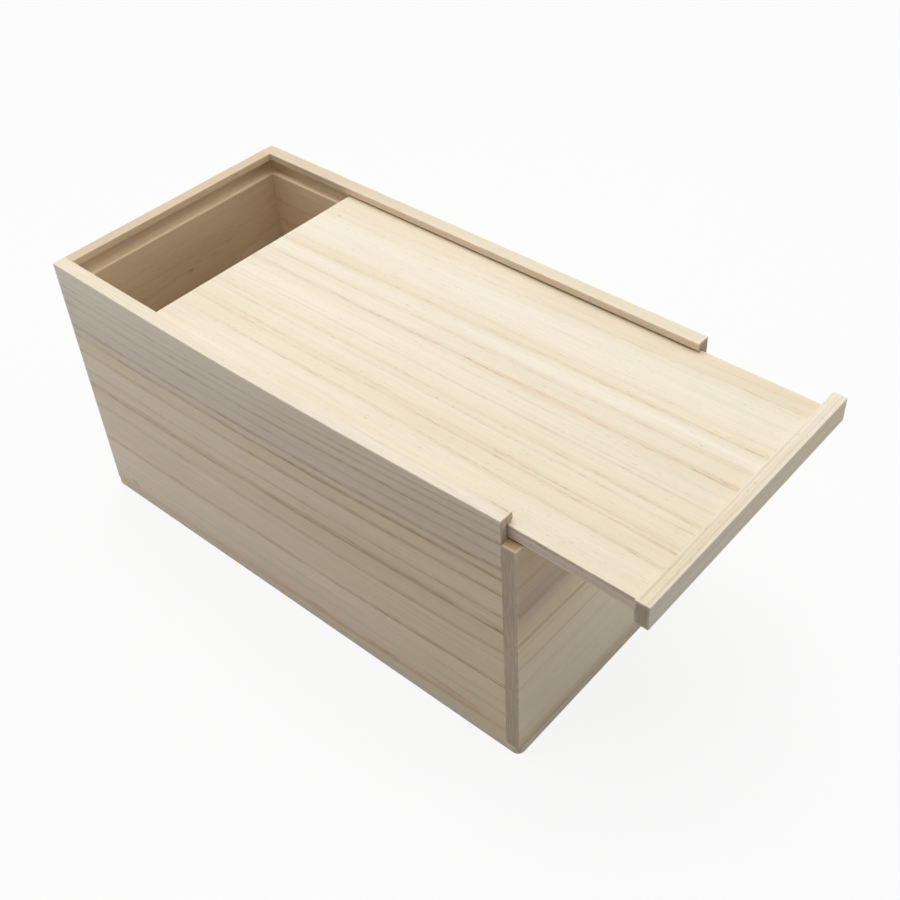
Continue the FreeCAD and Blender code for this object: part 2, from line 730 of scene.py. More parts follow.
    def ramp(self, span: Span, stops: dict[float, Colour]) -> Value:
        """Colour the places among the growth lines.

        Args:
            span: the places of the ramp's two ends, in mm.
            stops: colours by their places in mm, in order.

        Returns:
            The colour.
        """
        low, high = span
        ends = {"Value": self.masks["Place"], "From Min": low, "From Max": high}
        share = self.bench.value("ShaderNodeMapRange", ends, clamp=True)
        node = self.bench.add("ShaderNodeValToRGB", {"Fac": share})
        node.color_ramp.interpolation = "EASE"
        elements = node.color_ramp.elements
        while len(elements) < len(stops):
            elements.new(0.5)
        for element, (at, colour) in zip(elements, stops.items()):
            element.position = (at - low) / (high - low)
            element.color = (*colour, 1.0)
        return Value(self.bench, node.outputs["Color"])

    def wood_tone(self) -> Value:
        """Colour the wood between the growth lines, with its slow changes along and through the board, most
        of them painted shade and light.

        Returns:
            The colour.
        """
        drift_and_shade, tinted = self.finish.drift_and_shade, self.bench.tinted
        bands = {place: tint.value for place, tint in self.finish.bands.items()}
        span = (min(bands) - self.band_margin, max(bands) + self.band_margin)
        # painted shade and light along the board: a tint that runs from its low end to its high end
        colour = tinted(self.ramp(span, bands), self.bench.blend(self.run, drift_and_shade.start, drift_and_shade.finish))
        # painted bounce light: the faces well under the listed face take their own tint
        depth = abs(self.through - self.finish.growth.face)
        return self.bench.blend(depth.step(*self.far_face_depths), colour, tinted(colour, drift_and_shade.far_face_bounce))

    def weighed(self, shares: dict[str, float], about: float = 0.0) -> Value:
        """Add masks up by their shares, each taken from a level."""
        return reduce(add, ((self.masks[name] - about) * share for name, share in shares.items()))

    def level(self) -> Value:
        """Vary the wood's level with its fibres; darker wood is browner.

        Returns:
            A factor for each of the colour's three parts.
        """
        shares = {name: share * self.finish.streaks for name, share in self.streak_shares.items()}
        level = self.weighed(shares | {"Slow": self.slow_share}, about=NOISE_MIDDLE)
        return self.bench.vector(*(level * share + 1.0 for share in self.browning))

    def colour(self) -> Value:
        """Lay the tones over each other, from the bands to the arrises lightened by wear and painted
        highlight.

        Returns:
            The colour.
        """
        finish, masks, tinted = self.finish, self.masks, self.bench.tinted
        strength = self.along.step(*finish.drift_and_shade.reach, finish.drift_and_shade.strength) * finish.contrast
        edge = self.bench.blend(self.run, finish.edge[0].value, finish.edge[1].value)
        end_tone = masks["Speckle"].step(*self.end_tones)
        end = tinted(self.bench.vector(end_tone, end_tone, end_tone), finish.end_colour)
        colour = self.bench.blend(masks["Edge"] * self.cut_share, self.wood_tone(), edge)
        colour = tinted(colour, self.level())
        layers = (
            (masks["Line"] * strength, finish.line_colour),
            (masks["Row"] * (self.row_share * finish.rows) * strength, finish.line_colour),
            (masks["Pore"] * (self.pore_share * finish.pores), finish.pore_colour),
            (masks["Facing"] * self.cut_share, end),
            # real wear and painted highlight along the rounded arrises
            (masks["Worn"] * finish.worn, finish.arris_colour),
        )
        for cover, layer in layers:
            colour = self.bench.blend(cover, colour, layer)
        return colour

    def roughness(self) -> Value:
        """Let fibres, arrises and sawn ends differ in sheen."""
        sheen = tuple(self.finish.roughness + change for change in self.fibre_sheen)
        return self.masks["Fine"].step(*self.fibre_span, sheen) + self.weighed(self.sheen_shares)

    def relief(self) -> Value:
        """Raise the fibres and sink the lines and vessels."""
        inputs = {"Strength": self.relief_strength, "Distance": self.relief_height}
        return self.bench.value("ShaderNodeBump", inputs | {"Height": self.weighed(self.relief_shares)})

    def paint(self) -> bpy.types.Material:
        """Join colour, roughness and relief to the shader.

        Returns:
            The finished material.
        """
        inputs = {
            "Base Color": self.colour(),
            "Roughness": self.roughness(),
            "Normal": self.relief(),
            "Specular IOR Level": self.specular,
        }
        shader = self.bench.value("ShaderNodeBsdfPrincipled", inputs)
        self.bench.add("ShaderNodeOutputMaterial", {"Surface": shader})
        return self.material


class KiriWood:
    """Makes the boards' materials from node groups that they share."""

    def __init__(self) -> None:
        """Build each shared group once."""
        kinds = (GrowthField, FibreStreaks, ShopMottle, VesselDashes, CutFace, KnotSpot, WornArrisHighlight)
        self.groups = {kind: kind() for kind in kinds}

    def material(self, finish: BoardFinish) -> bpy.types.Material:
        """Make the material of one board."""
        return BoardPaint(finish, self.groups).paint()


# ---------------------------------------------------------------- joinery


def unit(axis: str) -> Vector:
    """Return the unit vector along an axis."""
    return Vector([float(name == axis.upper()) for name in "XYZ"])


def show(name: str, data: bpy.types.ID) -> bpy.types.Object:
    """Add an object to the scene.

    Args:
        name: its name.
        data: its mesh, light or camera.

    Returns:
        The object, which stands at the origin.
    """
    shown = bpy.data.objects.new(name, data)
    bpy.context.scene.collection.objects.link(shown)
    return shown


def show_mesh(name: str, bm: bmesh.types.BMesh) -> bpy.types.Object:
    """Turn a bmesh, which is freed, into an object of the scene.

    Args:
        name: the name of the object and its mesh.
        bm: the bmesh, in metres.

    Returns:
        The object.
    """
    mesh = bpy.data.meshes.new(name)
    bm.to_mesh(mesh)
    bm.free()
    return show(name, mesh)


@dataclass(frozen=True)
class Ease:
    """Edges to be rounded: every edge that lies in all the planes that are given.

    Args:
        radius: in mm.
        x: place of a plane square to X, in mm.
        y: place of a plane square to Y, in mm.
        z: place of a plane square to Z, in mm.
        stop: the place along Y, in mm, behind which they stay sharp.
    """

    radius: float
    x: float | None = None
    y: float | None = None
    z: float | None = None
    stop: float = math.inf

    def covers(self, edge: bmesh.types.BMEdge, near: float) -> bool:
        """Tell whether an edge is one of these, give or take a small distance."""
        planes = [(axis, place) for axis, place in enumerate((self.x, self.y, self.z)) if place is not None]
        return all(
            vert.co.y < self.stop + near and all(abs(vert.co[axis] - place) < near for axis, place in planes)
            for vert in edge.verts
        )


class BoardShaper:
    """Shapes one board on a bmesh, from a sawn block to a finished piece. Lengths are in mm."""

    near = 0.01
    cut_slack = 1e-5
    weld = 1e-4
    flat_angle = 0.001
    small_radius = 0.3
    hold_width = 1.6
    sharp_angle = math.radians(40.0)

    def __init__(self, low: Sequence[float], high: Sequence[float]) -> None:
        """Saw a block.

        Args:
            low: its lowest corner.
            high: its highest corner.
        """
        self.low, self.high = Vector(low), Vector(high)
        self.bm = bmesh.new()
        bmesh.ops.create_cube(self.bm, size=1.0)
        bmesh.ops.scale(self.bm, vec=self.high - self.low, verts=self.bm.verts)
        bmesh.ops.translate(self.bm, vec=(self.low + self.high) / 2, verts=self.bm.verts)
        self.arris = self.bm.verts.layers.float.new(ARRIS_LAYER)
        self.eased = self.bm.faces.layers.int.new("eased")

    def span(self, axis: str) -> Span:
        """Return the block's two ends on an axis."""
        return getattr(self.low, axis), getattr(self.high, axis)

    def score(self, axis: str, *places: float) -> None:
        """Mark the board with cuts across an axis, without parting it.

        Args:
            axis: the axis.
            places: the cuts' places on it, in mm.
        """
        normal = unit(axis)
        for place in places:
            everything = [*self.bm.verts, *self.bm.edges, *self.bm.faces]
            bmesh.ops.bisect_plane(
                self.bm, geom=everything, dist=self.cut_slack, plane_co=normal * place, plane_no=normal
            )

    def hollow(self, low: Sequence[float], high: Sequence[float], mouth: str, depth: float) -> None:
        """Cut a groove or a pocket.

        Args:
            low: lowest corner of the wood that is cut away.
            high: highest corner of it.
            mouth: the axis that the cutter enters along.
            depth: how far it goes along that axis, with its sign.
        """
        low, high = Vector(low), Vector(high)
        for axis in "xyz":
            first, last = self.span(axis)
            cuts = (getattr(low, axis), getattr(high, axis))
            self.score(axis, *(cut for cut in cuts if first + self.near < cut < last - self.near))
        start = getattr(low if depth > 0 else high, mouth)
        mouths = [
            face
            for face in self.bm.faces
            if self.inside(face.calc_center_median(), low, high)
            and all(abs(getattr(vert.co, mouth) - start) < self.near for vert in face.verts)
        ]
        grown = bmesh.ops.extrude_face_region(self.bm, geom=mouths)["geom"]
        floor = [item for item in grown if isinstance(item, bmesh.types.BMVert)]
        bmesh.ops.translate(self.bm, vec=unit(mouth) * depth, verts=floor)
        left = [face for face in mouths if face.is_valid]
        bmesh.ops.delete(self.bm, geom=left, context="FACES_ONLY")
        bmesh.ops.remove_doubles(self.bm, verts=self.bm.verts, dist=self.weld)
        ends = [
            face
            for face in self.bm.faces
            if all(self.inside(vert.co, low, high) for vert in face.verts) and self.on_block(face)
        ]
        bmesh.ops.delete(self.bm, geom=ends, context="FACES_ONLY")
        loose = [edge for edge in self.bm.edges if not edge.link_faces]
        bmesh.ops.delete(self.bm, geom=loose, context="EDGES")
        bmesh.ops.dissolve_limit(
            self.bm, angle_limit=self.flat_angle, verts=self.bm.verts, edges=self.bm.edges, delimit=set()
        )

    def on_block(self, face: bmesh.types.BMFace) -> bool:
        """Tell whether a face lies on one of the block's own six."""
        limits = [(axis, limit[axis]) for axis in range(3) for limit in (self.low, self.high)]
        return any(all(abs(vert.co[axis] - at) < self.near for vert in face.verts) for axis, at in limits)

    def inside(self, point: Vector, low: Vector, high: Vector) -> bool:
        """Tell whether a point lies in the box between two corners, give or take a small distance."""
        return all(low[axis] - self.near <= point[axis] <= high[axis] + self.near for axis in range(3))

    def ease(self, *eases: Ease, segments: int = 3, clamp: bool = True) -> None:
        """Round edges, those of one radius together, and note the faces of the larger rounds.

        Args:
            eases: the edges and their radii.
            segments: the steps of a larger round; a small one has one.
            clamp: whether rounds stop where they would meet.
        """
        for radius in sorted({ease.radius for ease in eases}, reverse=True):
            chosen = [ease for ease in eases if ease.radius == radius]
            edges = [edge for edge in self.bm.edges if any(ease.covers(edge, self.near) for ease in chosen)]
            rounded = bmesh.ops.bevel(
                self.bm,
                geom=edges,
                offset=radius,
                offset_type="OFFSET",
                affect="EDGES",
                segments=segments if radius > self.small_radius else 1,
                profile=0.5,
                material=-1,
                clamp_overlap=clamp,
            )
            if radius > self.small_radius:
                for face in rounded["faces"]:
                    face[self.eased] = 1

    def hold(self) -> None:
        """Score lines just inside the block's six faces and mark the arrises, which fade out there."""
        for axis in "xyz":
            low, high = self.span(axis)
            self.score(axis, low + self.hold_width, high - self.hold_width)
        for vert in self.bm.verts:
            vert[self.arris] = float(any(face[self.eased] for face in vert.link_faces))

    def divide(self, axis: str, count: int) -> None:
        """Score the board at even steps across an axis."""
        low, high = self.span(axis)
        self.score(axis, *(low + (high - low) * step / count for step in range(1, count)))

    def bow(self, amount: float, power: float) -> None:
        """Bow the board along X, most at the middle of its rim and not at its ends or its foot.

        Args:
            amount: how far the middle of the rim moves, in mm.
            power: how late the bow grows from the foot to the rim.
        """
        size = self.high - self.low
        for vert in self.bm.verts:
            run = min(max((vert.co.y - self.low.y) / size.y, 0.0), 1.0)
            lift = max((vert.co.z - self.low.z) / size.z, 0.0)
            vert.co.x += amount * math.sin(math.pi * run) * lift**power

    def finish(self, name: str) -> bpy.types.Object:
        """Turn the bmesh into a shown object, in metres.

        Args:
            name: the piece's name.

        Returns:
            The object, which sits at the origin.
        """
        bmesh.ops.scale(self.bm, vec=(MM, MM, MM), verts=self.bm.verts)
        bmesh.ops.recalc_face_normals(self.bm, faces=self.bm.faces)
        for face in self.bm.faces:
            face.smooth = True
        open_edges = sum(not edge.is_manifold for edge in self.bm.edges)
        piece = show_mesh(name, self.bm)
        piece.data.set_sharp_from_angle(angle=self.sharp_angle)
        piece.modifiers.new("flat_faces", "WEIGHTED_NORMAL").keep_sharp = True
        LOG.info("%s: %d faces, %d open edges", name, len(piece.data.polygons), open_edges)
        return piece


def node_corners(node: str) -> tuple[Vector, Vector]:
    """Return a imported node's corners in mm."""
    low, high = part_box(node)
    return low / MM, high / MM


def fit_to_frame(piece: bpy.types.Object, node: str, body: str, slot: str, wood: bpy.types.Material) -> None:
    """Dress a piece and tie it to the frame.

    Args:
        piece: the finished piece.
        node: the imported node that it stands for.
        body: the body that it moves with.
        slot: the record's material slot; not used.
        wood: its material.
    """
    piece.data.materials.append(wood)
    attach(piece, body)
    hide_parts(node)


@dataclass
class Joinery:
    """Boards that move together.

    Args:
        wood: makes their materials.
        body: the body that they move with.
        slot: the record's material slot.
        arris: radius of an open edge, in mm.
        pieces: the finished boards.
    """

    wood: KiriWood
    body: str
    slot: str
    arris: float = 0.45
    pieces: list[bpy.types.Object] = field(default_factory=list)

    def dress(self, board: BoardShaper, name: str, node: str, finish: BoardFinish) -> None:
        """Finish a board, give it its wood and tie it to the frame.

        Args:
            board: the shaped board.
            name: the piece's name.
            node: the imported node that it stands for.
            finish: its look.
        """
        piece = board.finish(name)
        fit_to_frame(piece, node, self.body, self.slot, self.wood.material(finish))
        self.pieces.append(piece)


@dataclass
class BoxCarcass(Joinery):
    """The open box: a base board, two long sides, a low front and a back."""

    body: str = "box"
    slot: str = "panel_wood"
    groove_floor: float = 142.0
    groove_top: float = 150.5
    groove_arris: float = 0.2
    side_groove_depth: float = 4.0
    side_groove_end: float = 145.8
    back_groove_depth: float = 3.6
    joint: float = 0.16
    tight_joint: float = 0.06
    base_corner: float = 4.0
    base_back_corner: float = 1.2
    base_edge: float = 1.0
    base_segments: int = 6
    shoulder: float = 1.1
    cove: float = 1.6
    side_bow: float = 2.2
    bow_power: float = 1.4
    bow_columns: int = 24
    bow_rows: int = 10

    def build(self) -> None:
        """Make and dress all five boards."""
        self.make_base_board()
        for side in Side:
            self.make_side_panel(side)
        self.make_front_panel()
        self.make_back_panel()

    def make_base_board(self) -> None:
        """Make the board under the walls, with rounded corners."""
        low, high = node_corners("base_board")
        board = BoardShaper(low, high)
        sizes = ((low.y, self.base_corner), (high.y, self.base_back_corner))
        corners = [Ease(radius, x=x, y=y) for x in (low.x, high.x) for y, radius in sizes]
        board.ease(*corners, segments=self.base_segments)
        board.ease(Ease(self.base_edge, z=low.z), Ease(self.joint, z=high.z), clamp=False)
        self.dress(board, "base_plank", "base_board", BASE_FINISH)

    def make_side_panel(self, side: Side) -> None:
        """Make a long wall with its stopped groove; the left one bows outwards at its rim.

        Args:
            side: the side that it stands on.
        """
        name = side.name.lower()
        low, high = node_corners(f"{name}_side_panel")
        outer, inner = (low.x, high.x) if side is Side.LEFT else (high.x, low.x)
        depth = side.value * self.side_groove_depth
        floor = inner + depth
        board = BoardShaper(low, high)
        groove_low = (min(inner, floor), low.y, self.groove_floor)
        groove_high = (max(inner, floor), self.side_groove_end, self.groove_top)
        board.hollow(groove_low, groove_high, "x", depth)
        back_face = node_corners("back_panel")[0].y
        board.score("y", back_face)
        board.ease(
            Ease(self.arris, x=outer, z=high.z),
            Ease(self.arris, x=inner, z=high.z, stop=back_face),
            Ease(self.arris, y=low.y, z=high.z),
            Ease(self.arris, y=high.y, z=high.z),
            Ease(self.arris, x=outer, y=high.y),
            Ease(self.joint, x=outer, y=low.y),
            Ease(self.groove_arris, x=inner, z=self.groove_top),
            Ease(self.shoulder, x=inner, z=self.groove_floor),
            Ease(self.shoulder, x=inner, y=self.side_groove_end),
            Ease(self.cove, x=floor, y=self.side_groove_end),
            Ease(self.tight_joint, x=outer, z=low.z),
        )
        board.hold()
        board.divide("y", self.bow_columns)
        if side is Side.LEFT:
            board.divide("z", self.bow_rows)
            board.bow(-self.side_bow, self.bow_power)
        finish = LEFT_SIDE_FINISH if side is Side.LEFT else RIGHT_SIDE_FINISH
        self.dress(board, f"{name}_long_wall", f"{name}_side_panel", finish)

    def make_front_panel(self) -> None:
        """Make the low wall over the front ends of the sides."""
        low, high = node_corners("front_panel")
        board = BoardShaper(low, high)
        eases = [Ease(self.arris, y=y, z=high.z) for y in (low.y, high.y)]
        eases.append(Ease(self.joint, y=low.y, z=low.z))
        for x in (low.x, high.x):
            eases += [Ease(self.arris, x=x, y=low.y), Ease(self.arris, x=x, z=high.z)]
            eases += [Ease(self.joint, x=x, y=high.y), Ease(self.joint, x=x, z=low.z)]
        board.ease(*eases)
        board.hold()
        self.dress(board, "low_front_wall", "front_panel", FRONT_FINISH)

    def make_back_panel(self) -> None:
        """Make the short wall between the sides, grooved for the lid's rear edge."""
        low, high = node_corners("back_panel")
        floor = low.y + self.back_groove_depth
        board = BoardShaper(low, high)
        groove_low, groove_high = (low.x, low.y, self.groove_floor), (high.x, floor, self.groove_top)
        board.hollow(groove_low, groove_high, "y", self.back_groove_depth)
        board.ease(
            *(Ease(self.arris, y=y, z=high.z) for y in (low.y, high.y)),
            *(Ease(self.joint, x=x, y=high.y) for x in (low.x, high.x)),
            Ease(self.joint, y=high.y, z=low.z),
            Ease(self.groove_arris, y=low.y, z=self.groove_top),
            Ease(self.shoulder, y=low.y, z=self.groove_floor),
            Ease(self.cove, y=floor, z=self.groove_floor),
        )
        board.hold()
        self.dress(board, "back_wall", "back_panel", BACK_FINISH)


@dataclass
class SlidingLid(Joinery):
    """The lid: a thin board that runs in the grooves, and the bar across its front end."""

    body: str = "lid"
    slot: str = "lid_wood"

    def build(self) -> None:
        """Make and dress the board and the bar."""
        self.make_lid_board()
        self.make_lid_bar()

    def make_lid_board(self) -> None:
        """Make the board that slides, with every edge eased but those of its front end."""
        low, high = node_corners("lid_panel")
        board = BoardShaper(low, high)
        sides, faces = (low.x, high.x), (low.z, high.z)
        board.ease(
            *(Ease(self.arris, x=x, z=z) for x in sides for z in faces),
            *(Ease(self.arris, y=high.y, z=z) for z in faces),
            *(Ease(self.arris, x=x, y=high.y) for x in sides),
        )
        board.hold()
        self.dress(board, "lid_board", "lid_panel", LID_FINISH)

    def make_lid_bar(self) -> None:
        """Make the bar, with every edge eased and a pocket for the lid board's end."""
        low, high = node_corners("lid_bar")
        end_low, end_high = node_corners("lid_panel")
        board = BoardShaper(low, high)
        board.ease(Ease(self.arris))
        board.hollow(end_low, (end_high.x, high.y, end_high.z), "y", end_low.y - high.y)
        board.hold()
        self.dress(board, "front_bar", "lid_bar", BAR_FINISH)


# ---------------------------------------------------------------- the boards' own looks

LEFT_SIDE_FINISH = BoardFinish(
    name="kiri_left_side",
    grain=Grain.LENGTHWISE_UPRIGHT,
    growth=Growth(datum=-3.0, face=-75.0, seed=3.1, rise=-0.0335, sweep=0.000056, tilt=-0.5, wander=0.6),
    lines=rings(
        (8.6, 0.30, 1.2, 2.6), (21.0, 0.14, 0.6, 2.6), (30.0, 0.10, 0.5, 2.0), (41.8, 0.50, 0.9, 2.6),
        (60.0, 0.16, 0.5, 1.6), (65.8, 0.42, 0.9, 2.6), (79.8, 0.62, 1.0, 4.6), (90.2, 0.34, 0.7, 2.2),
        (104.2, 0.48, 0.8, 2.6), (114.5, 0.62, 0.9, 2.2), (120.5, 0.56, 0.8, 2.0), (128.5, 0.26, 0.5, 1.6),
        (135.5, 0.46, 0.6, 2.0), (141.5, 0.30, 0.5, 1.6), (146.0, 0.28, 0.5, 1.2), (149.6, 0.12, 0.4, 0.6),
    ),
    bands={
        -2.0: Tint.CREAM, 5.0: Tint.STRAW, 10.0: Tint.PEACH, 17.0: Tint.CREAM, 36.0: Tint.CREAM,
        50.0: Tint.STRAW, 62.0: Tint.CREAM, 74.0: Tint.STRAW, 86.0: Tint.STRAW, 98.0: Tint.CREAM,
        110.0: Tint.STRAW, 122.0: Tint.GREY, 160.0: Tint.PALE,
    },
    edge=(Tint.PALE, Tint.CREAM),
    # painted shade towards the front end and painted light towards the back; painted warm bounce on the
    # inner face
    drift_and_shade=DriftAndShade(
        start=(0.955, 0.915, 0.885),
        finish=(1.10, 1.09, 1.16),
        far_face_bounce=(1.0, 0.94, 0.84),
        strength=(0.86, 0.48),
    ),
    knots=(
        PinKnot(133.0, 10.5, 5.0, 3.2, 0.45), PinKnot(142.0, 7.5, 6.0, 2.0, 0.35),
        PinKnot(58.0, 8.0, 16.0, 1.8, 0.30), PinKnot(-18.0, 11.5, 14.0, 1.8, 0.35),
        PinKnot(-62.0, 12.5, 18.0, 2.0, 0.40), PinKnot(-108.0, 17.5, 22.0, 1.8, 0.35),
    ),
    end_span=(-140.0, 147.0),
    edge_span=(10.0, 153.0),
    end_colour=(0.575, 0.468, 0.352),
    streaks=0.8,
    rows=1.6,
    pores=0.85,
)

RIGHT_SIDE_FINISH = BoardFinish(
    name="kiri_right_side",
    grain=Grain.LENGTHWISE_UPRIGHT,
    growth=Growth(datum=149.8, face=75.0, seed=7.4, rise=0.012, sweep=-0.00003, tilt=0.5, wander=0.9),
    lines=rings(
        (14.0, 0.24, 0.8, 2.4), (29.0, 0.40, 0.8, 2.6), (46.0, 0.28, 0.9, 2.8), (58.5, 0.40, 0.8, 2.2),
        (71.0, 0.22, 0.6, 2.4), (88.0, 0.46, 0.9, 3.4), (98.0, 0.24, 0.6, 2.0), (109.0, 0.34, 0.8, 2.6),
        (121.0, 0.28, 0.6, 2.2), (131.0, 0.16, 0.5, 1.8), (140.0, 0.14, 0.5, 1.6),
    ),
    # the dusk bands at the top are painted shade on the lip's inner face under the rim
    bands={
        0.0: Tint.STRAW, 25.0: Tint.CREAM, 50.0: Tint.BUFF, 75.0: Tint.CREAM, 95.0: Tint.BUFF,
        120.0: Tint.CREAM, 144.0: Tint.CREAM, 147.0: Tint.BUFF, 149.8: Tint.SHADE_DUSK, 156.0: Tint.SHADE_DUSK,
    },
    edge=(Tint.CREAM, Tint.TAN),
    # painted warm, brighter bounce light on the inner wall inside the box
    drift_and_shade=DriftAndShade(far_face_bounce=(1.128, 0.987, 0.878), reach=(-10.0, 100.0)),
    knots=(PinKnot(136.0, 110.0, 5.0, 2.0, 0.30),),
    end_span=(-140.0, 147.0),
    edge_span=(10.0, 153.0),
    contrast=0.65,
    # warm arris colour: painted warm bounce light on the highlights inside the box
    arris_colour=(0.930, 0.800, 0.600),
    streaks=0.6,
    pores=0.7,
    worn=0.5,
)

FRONT_FINISH = BoardFinish(
    name="kiri_front",
    grain=Grain.CROSSWISE_UPRIGHT,
    growth=Growth(datum=-75.0, face=-149.8, seed=12.6, rise=-0.012, tilt=0.5, wander=0.8),
    lines=rings(
        (6.3, 0.75, 1.0, 0.9), (51.0, 0.10, 0.6, 2.0), (65.5, 0.26, 0.8, 2.6), (77.0, 0.14, 0.5, 1.6),
        (81.4, 0.56, 1.0, 2.6), (85.4, 0.13, 0.6, 2.2), (100.6, 0.36, 2.6, 4.0), (107.5, 0.20, 1.0, 4.0),
        (119.0, 0.24, 0.9, 3.2), (131.0, 0.18, 0.8, 2.8),
    ),
    bands={
        5.0: Tint.ROSE, 8.5: Tint.TAN, 16.0: Tint.IVORY, 40.0: Tint.IVORY, 66.0: Tint.CREAM,
        84.0: Tint.STRAW, 104.0: Tint.ROSE, 124.0: Tint.TAN, 146.0: Tint.TAN,
    },
    edge=(Tint.COCOA, Tint.COCOA),
    # painted shade at the left end and painted light towards the right; painted warm bounce on the inner
    # face
    drift_and_shade=DriftAndShade(
        start=(0.965, 0.945, 0.930), finish=(1.16, 1.18, 1.17), reach=(-75.0, 10.0), far_face_bounce=(1.0, 0.94, 0.84)
    ),
    contrast=0.78,
    end_colour=(0.515, 0.422, 0.322),
    streaks=0.5,
    worn=0.3,
)

BACK_FINISH = BoardFinish(
    name="kiri_back",
    grain=Grain.CROSSWISE_UPRIGHT,
    growth=Growth(datum=-20.0, face=143.3, seed=21.3, rise=0.10, sweep=0.0009, tilt=0.6, wander=1.4),
    lines=rings(
        (20.0, 0.20, 1.2, 4.0), (44.0, 0.26, 1.2, 4.0), (66.0, 0.22, 1.4, 5.0), (84.0, 0.18, 1.2, 4.0),
        (97.0, 0.20, 2.6, 8.0), (112.0, 0.16, 1.0, 3.0), (128.0, 0.10, 0.8, 2.4),
    ),
    # the honey bands are painted warm bounce light on the inner wall
    bands={
        0.0: Tint.BOUNCE_HONEY, 60.0: Tint.BOUNCE_HONEY, 86.0: Tint.PEACH, 100.0: Tint.BOUNCE_HONEY, 170.0: Tint.BOUNCE_HONEY,
    },
    edge=(Tint.FAWN, Tint.FAWN),
    knots=(
        PinKnot(-0.5, 112.3, 3.0, 1.4, 0.5), PinKnot(26.0, 117.0, 7.0, 1.2, 0.25),
        PinKnot(6.0, 120.0, 55.0, 11.0, 0.15),
    ),
    edge_span=(10.0, 153.0),
    # the outer face is cooled to take back the painted warm bounce of the inner wall
    drift_and_shade=DriftAndShade(far_face_bounce=(0.94, 1.01, 1.14)),
    contrast=0.8,
    # warm arris colour: painted warm bounce light on the highlights inside the box
    arris_colour=(0.940, 0.810, 0.620),
    streaks=0.6,
    rows=0.6,
    worn=0.15,
)

BASE_FINISH = BoardFinish(
    name="kiri_base",
    grain=Grain.LENGTHWISE_FLAT,
    growth=Growth(datum=-149.8, face=0.0, seed=33.9, rise=0.01, sweep=0.00003, tilt=0.8, wander=1.0),
    lines=rings(
        (-63.0, 0.30, 0.8, 2.0), (-51.0, 0.44, 0.9, 2.4), (-33.0, 0.34, 0.8, 2.0), (-14.0, 0.52, 1.0, 2.6),
        (2.0, 0.30, 0.8, 2.0), (21.0, 0.46, 0.8, 2.2), (43.0, 0.38, 0.8, 2.4), (60.0, 0.28, 0.7, 2.0),
    ),
    bands={
        -80.0: Tint.GREY, -68.0: Tint.GREY, -60.0: Tint.CREAM, -5.0: Tint.BUFF, 60.0: Tint.CREAM,
        80.0: Tint.STRAW,
    },
    # the lighter back end of the edge tint is painted light, against the floor's shade along the foot
    edge=(Tint.GREY, Tint.CREAM),
    end_colour=(0.850, 0.770, 0.635),
)

LID_FINISH = BoardFinish(
    name="kiri_lid",
    grain=Grain.LENGTHWISE_FLAT,
    growth=Growth(datum=-205.5, face=149.3, seed=41.7, fan=0.0004, pivot=-42.0, tilt=0.9, wander=0.34),
    lines=rings(
        # the line at -71.6 is painted shade: a dark line just under the long top arris of the lid's edge
        (-75.0, 0.25, 0.8, 1.4), (-71.6, 0.85, 0.8, 0.8), (-63.6, 0.08, 0.5, 1.6), (-59.8, 0.07, 0.4, 1.2),
        (-52.1, 0.30, 0.7, 1.8), (-42.6, 0.26, 0.6, 1.4), (-39.8, 0.26, 0.8, 2.0), (-29.4, 0.20, 0.5, 1.6),
        (-25.0, 0.22, 0.8, 2.2), (-15.3, 0.20, 0.5, 1.4), (-12.3, 0.12, 0.4, 1.0), (-5.0, 0.14, 0.5, 1.6),
        (2.0, 0.36, 0.9, 2.4), (13.0, 0.26, 0.8, 2.6), (25.8, 0.26, 0.9, 2.8), (31.8, 0.15, 0.8, 2.4),
        (46.0, 0.07, 0.6, 2.4), (59.5, 0.16, 0.9, 2.6), (66.0, 0.10, 0.6, 2.2),
    ),
    bands={
        -77.0: Tint.CREAM, -55.0: Tint.CREAM, -50.0: Tint.BUFF, -41.2: Tint.BLUSH, -37.0: Tint.BUFF,
        -30.0: Tint.CREAM, -24.0: Tint.BUFF, -18.0: Tint.CREAM, -7.0: Tint.IVORY, 2.4: Tint.BLUSH,
        6.0: Tint.CREAM, 14.0: Tint.CREAM, 19.5: Tint.PALE, 26.5: Tint.BUFF, 38.0: Tint.IVORY,
        50.0: Tint.PALE, 60.0: Tint.CREAM, 68.0: Tint.BLUSH, 76.0: Tint.BUFF,
    },
    edge=(Tint.MAUVE, Tint.MAUVE),
    # painted light over the whole board, a little stronger towards the back
    drift_and_shade=DriftAndShade(
        start=(1.02, 1.035, 1.05), finish=(1.035, 1.05, 1.075), strength=(1.18, 0.74), reach=(-205.0, 20.0)
    ),
    contrast=0.54,
    pore_colour=(0.380, 0.250, 0.130),
    streaks=0.54,
    rows=2.0,
    pores=1.2,
    worn=0.55,
)

BAR_FINISH = BoardFinish(
    name="kiri_bar",
    grain=Grain.CROSSWISE_UPRIGHT,
    growth=Growth(datum=-75.0, face=-212.6, seed=55.2, rise=0.003, tilt=0.9, wander=0.3),
    lines=rings(
        (144.5, 0.14, 0.5, 1.6), (150.0, 0.12, 0.5, 1.4), (156.3, 0.24, 0.3, 0.6), (157.6, 0.15, 0.3, 0.5),
        (159.3, 0.24, 0.3, 0.6),
    ),
    bands={
        140.0: Tint.BUFF, 147.0: Tint.CREAM, 152.0: Tint.BUFF, 162.0: Tint.CREAM,
    },
    edge=(Tint.STRAW, Tint.PALE),
    drift_and_shade=DriftAndShade(start=(0.925, 0.970, 1.070), finish=(0.985, 1.015, 0.985), reach=(-60.0, 60.0)),
    contrast=0.7,
    line_colour=(0.400, 0.265, 0.120),
    end_colour=(0.400, 0.334, 0.229),
    streaks=0.8,
    worn=0.45,
)


# ---------------------------------------------------------------- studio


@dataclass(frozen=True)
class SoftLamp:
    """A soft lamp.

    Args:
        name: the lamp's name.
        place: where it hangs, in metres.
        target: the point that it faces.
        size: its width and depth, in metres.
        watts: its power.
    """

    name: str
    place: Sizes
    target: Sizes
    size: Span
    watts: float


